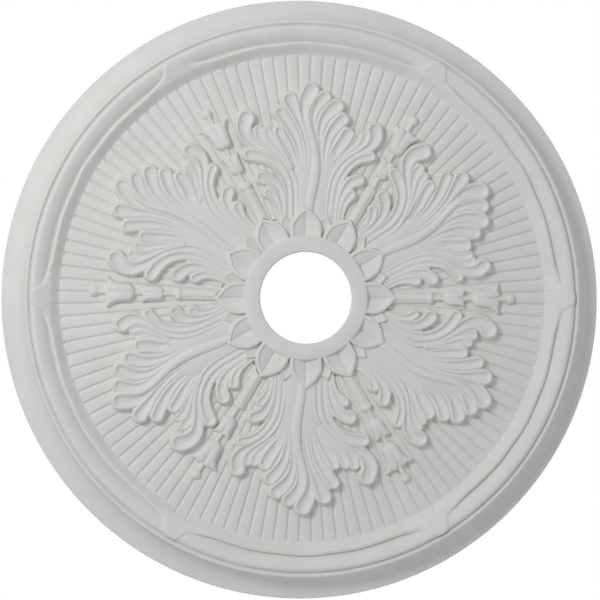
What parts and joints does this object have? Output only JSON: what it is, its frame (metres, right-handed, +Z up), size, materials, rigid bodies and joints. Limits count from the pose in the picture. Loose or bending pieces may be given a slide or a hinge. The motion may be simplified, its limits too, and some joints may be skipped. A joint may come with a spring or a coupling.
{
  "type": "ceiling rose",
  "caption": "Round cast ceiling rose with acanthus leaves, husk drops and a reeded field inside a moulded rim, with a plain central hole for a hanging light's fitting.",
  "frame": {"origin": "Middle of the flat back, on the axis of the central hole, where the rose meets the ceiling.", "axes": "+Z points up out of the flat back into the ceiling, and the carved face looks down along -Z. A husk drop lies along +X, and leaf axes lie midway between the drops."},
  "size_m": [0.685, 0.685, 0.035],
  "materials": {
    "cast_foam": "factory-primed matt off-white, with a faint cast texture"
  },
  "bodies": {
    "root": {"ceiling_rose": "cast_foam"}
  },
  "joints": []
}
